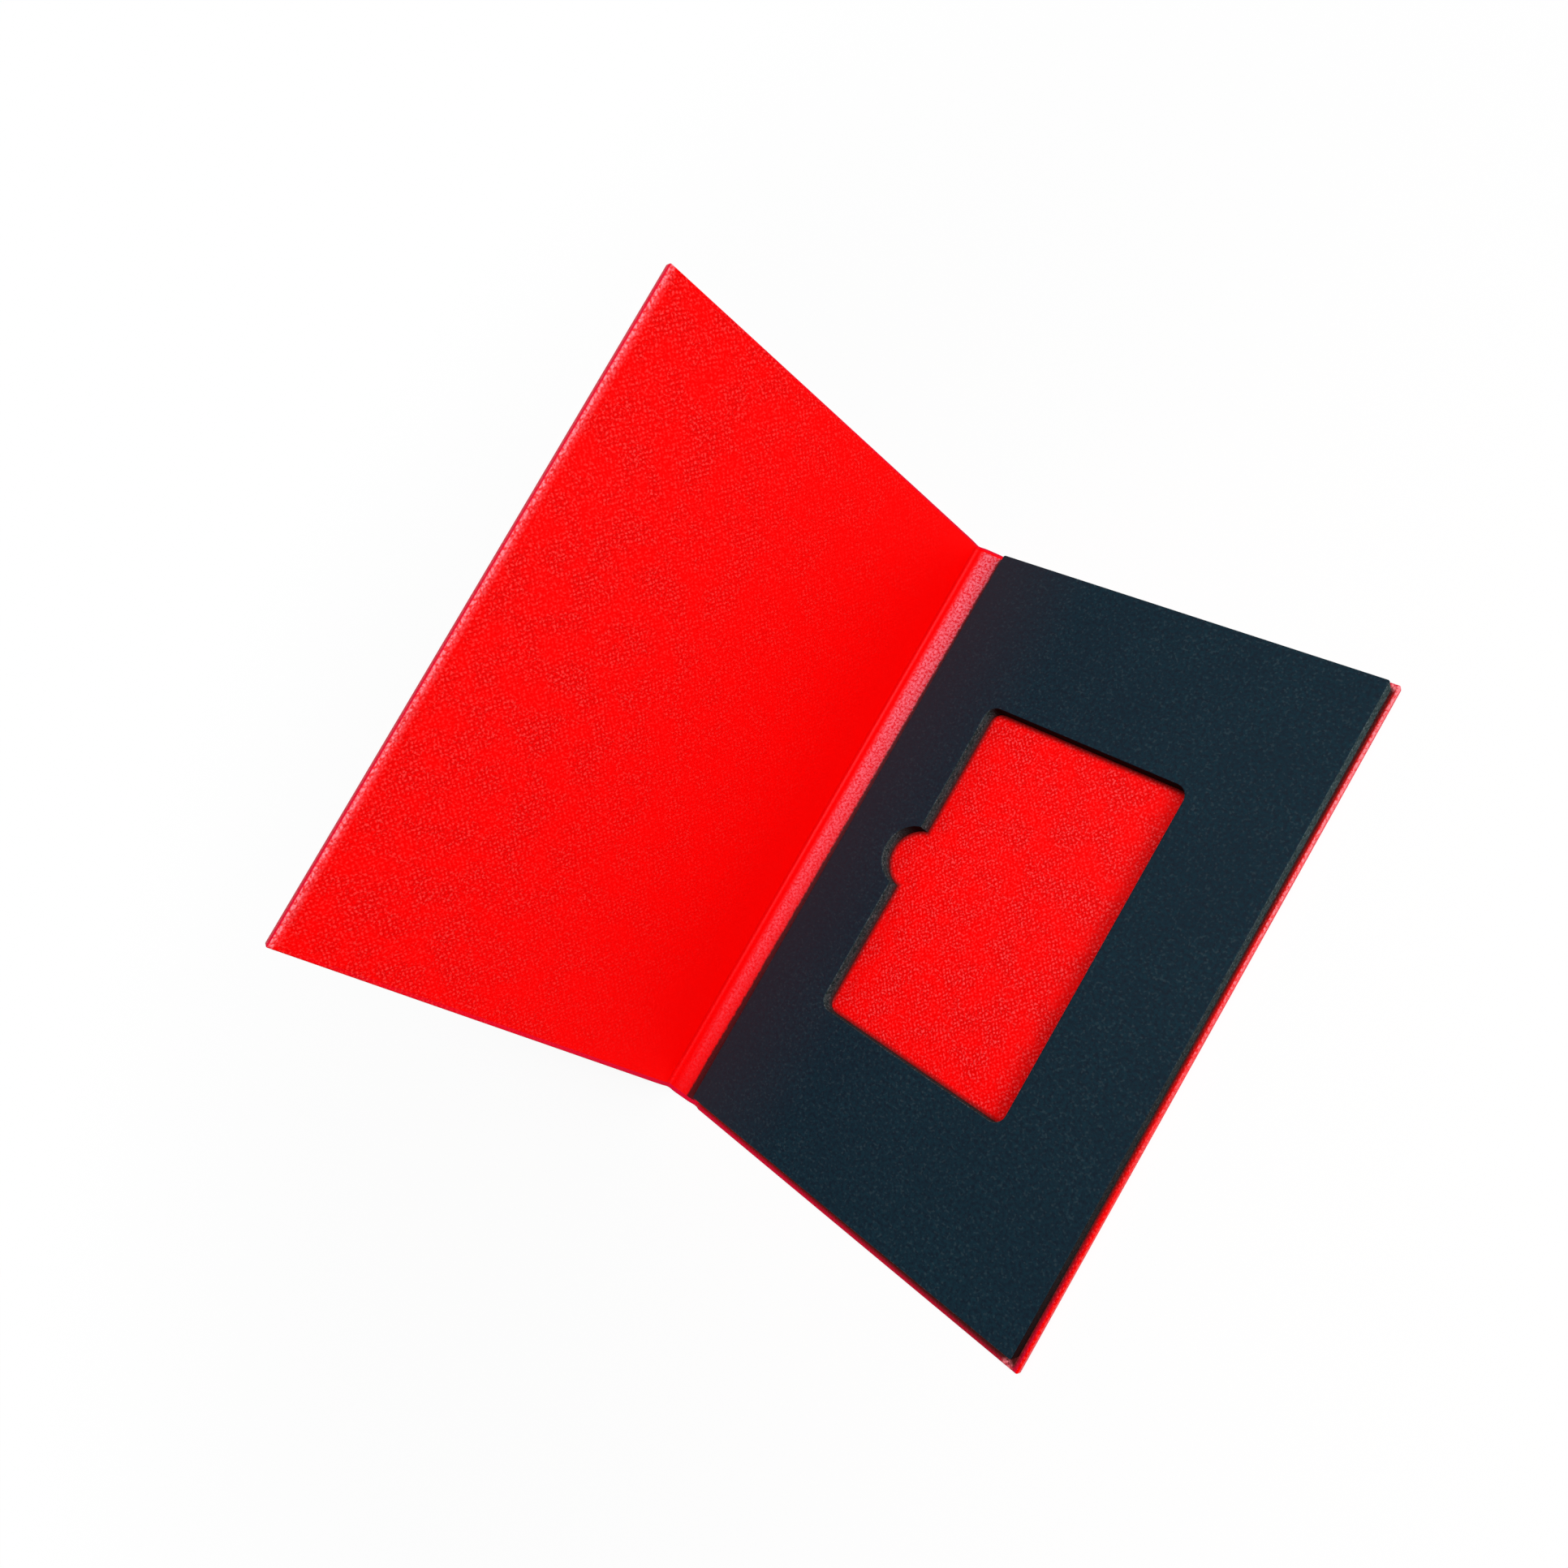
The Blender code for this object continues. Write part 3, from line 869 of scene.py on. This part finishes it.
def foamInsert(name):
    bm = bmesh.new()
    bm.from_mesh(frame["nodes"]["card_insert"].data)
    bmesh.ops.scale(bm, vec=(1 / mm, 1 / mm, 1 / mm), verts=bm.verts[:])
    bmesh.ops.remove_doubles(bm, verts=bm.verts[:], dist=insert["mergeWithin"])
    bmesh.ops.dissolve_limit(bm, angle_limit=math.radians(insert["flatWithin"]),
                             verts=bm.verts[:], edges=bm.edges[:])
    bmesh.ops.recalc_face_normals(bm, faces=bm.faces[:])
    top = max(vert.co.z for vert in bm.verts)
    bottom = min(vert.co.z for vert in bm.verts)
    for vert in bm.verts:
        if vert.co.z < bottom + slack:
            vert.co.z = insert["underside"]
    edges = [edge for edge in bm.edges if all(vert.co.z > top - slack for vert in edge.verts)
             and edge.calc_face_angle(0.0) > insert["sharpTurn"]]
    roundEdges(bm, edges, insert["edge"], insert["edgeSteps"])
    lit = bm.loops.layers.float.new("lit")
    outer = max(vert.co.x for vert in bm.verts)
    near = min(vert.co.y for vert in bm.verts) + insert["endDepth"]
    far = max(vert.co.y for vert in bm.verts) - insert["endDepth"]
    for face in bm.faces:
        face.material_index = 0 if face.normal.z > insert["topFacing"] else 1
        outerWall = face.normal.x > insert["outerFacing"]
        sideways = Vector((face.normal.x, face.normal.y))
        for loop in face.loops:
            loop[lit] = 1.0
            if loop.vert.co.x > outer - insert["outerDepth"] and outerWall:
                loop[lit] = 0.0 if loop.vert.co.y < 0 else insert["farLight"]
            elif near < loop.vert.co.y < far and sideways.length > insert["wallFacing"]:
                turned = sideways.normalized().y + insert["shadedTurn"]
                loop[lit] = min(max(turned / insert["shadedSpan"], 0.0), 1.0)
    return finishPiece(name, bm, [foamFace, foamCut])


insertPiece = foamInsert("foam_insert")
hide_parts("card_insert")
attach(insertPiece, "back_cover")

# Stage, light and camera

studio = {
    "white": (1.0, 1.0, 1.0, 1.0),
    "floorColour": (0.90, 0.90, 0.90, 1.0),
    "floorWhite": (0.90, 1.0),   # how much of the floor the camera sees as plain white
    "floorFade": (0.12, 0.42),   # between these distances from the object, metres
    "floorSize": 4.0,
    "floorDrop": 0.00005,        # it lies this far under the object, metres
    "floorGrain": 40.0,
    "floorRoughness": (0.80, 0.92),
    "floorGloss": 0.2,
    "worldLight": 0.10,
    "key": {"at": (0.42, 0.19, 0.90), "size": (1.50, 0.40), "watts": 8.7, "down": True},
    "side": {"at": (0.80, 0.14, 0.66), "size": (0.45, 0.45), "watts": 4.9, "down": False},
    "target": (0.0, 0.0, 0.02),  # what a lamp that isn't turned straight down looks at
}


def whiteForTheEye(tree):
    path = tree.nodes.new("ShaderNodeLightPath")
    seen = sums(tree, "ADD", path.outputs["Is Camera Ray"], path.outputs["Is Glossy Ray"], True)
    return sums(tree, "ADD", seen, path.outputs["Is Transmission Ray"], True)


def makeFloor():
    bm = bmesh.new()
    bmesh.ops.create_grid(bm, x_segments=1, y_segments=1, size=studio["floorSize"])
    bmesh.ops.translate(bm, vec=(0.0, 0.0, -studio["floorDrop"]), verts=bm.verts[:])
    mesh = bpy.data.meshes.new("paleFloor")
    bm.to_mesh(mesh)
    bm.free()
    material, tree, output = newMaterial("paleFloorPaint")
    place = objectPlace(tree)
    grain = noise(tree, place, studio["floorGrain"], 3.0)[0]
    plain = addNode(tree, "ShaderNodeBsdfPrincipled", BaseColor=studio["floorColour"],
                    Roughness=spread(tree, grain, *noiseMiddle, *studio["floorRoughness"]),
                    SpecularIORLevel=studio["floorGloss"])
    white = addNode(tree, "ShaderNodeEmission", Color=studio["white"], Strength=1.0)
    away = vectorMath(tree, "LENGTH", place, "Value")
    plainWhite = spread(tree, away, *studio["floorFade"], *studio["floorWhite"], "SMOOTHSTEP")
    share = sums(tree, "MULTIPLY", whiteForTheEye(tree), plainWhite)
    mixed = addNode(tree, "ShaderNodeMixShader", in0=share, in1=plain.outputs[0],
                    in2=white.outputs[0])
    tree.links.new(mixed.outputs[0], output.inputs[0])
    mesh.materials.append(material)
    floor = bpy.data.objects.new("paleFloor", mesh)
    bpy.context.scene.collection.objects.link(floor)


def makeWorld():
    world = bpy.data.worlds.new("softStudio")
    world.use_nodes = True
    tree = world.node_tree
    tree.nodes.clear()
    output = tree.nodes.new("ShaderNodeOutputWorld")
    lit = addNode(tree, "ShaderNodeBackground", Color=studio["white"],
                  Strength=studio["worldLight"])
    seen = addNode(tree, "ShaderNodeBackground", Color=studio["white"], Strength=1.0)
    mixed = addNode(tree, "ShaderNodeMixShader", in0=whiteForTheEye(tree), in1=lit.outputs[0],
                    in2=seen.outputs[0])
    tree.links.new(mixed.outputs[0], output.inputs[0])
    bpy.context.scene.world = world


def softbox(name, settings):
    light = bpy.data.lights.new(name, "AREA")
    light.shape = "RECTANGLE"
    light.size, light.size_y = settings["size"]
    light.energy = settings["watts"]
    lamp = bpy.data.objects.new(name, light)
    lamp.location = settings["at"]
    if not settings["down"]:
        aim = Vector(studio["target"]) - Vector(settings["at"])
        lamp.rotation_euler = aim.to_track_quat("-Z", "Y").to_euler()
    bpy.context.scene.collection.objects.link(lamp)


camera = {
    "at": (107.7727, -8.2713, 241.0912),               # millimetres
    "turn": (19.38511646, 27.40434419, 34.06850199),   # degrees
    "lens": 24.7506,
    "sensor": 36.0,
    "shift": (-0.051591, 0.031173),
    "clip": (0.001, 100.0),    # metres
}


def makeCamera():
    data = bpy.data.cameras.new("photoCamera")
    data.lens = camera["lens"]
    data.sensor_width = camera["sensor"]
    data.shift_x, data.shift_y = camera["shift"]
    data.clip_start, data.clip_end = camera["clip"]
    eye = bpy.data.objects.new("photoCamera", data)
    eye.location = Vector(camera["at"]) * mm
    eye.rotation_euler = [math.radians(angle) for angle in camera["turn"]]
    bpy.context.scene.collection.objects.link(eye)
    bpy.context.scene.camera = eye


makeFloor()
makeWorld()
softbox("keySoftbox", studio["key"])
softbox("sideSoftbox", studio["side"])
makeCamera()
bpy.context.scene.view_settings.view_transform = "Standard"
print("stage, light and camera set")
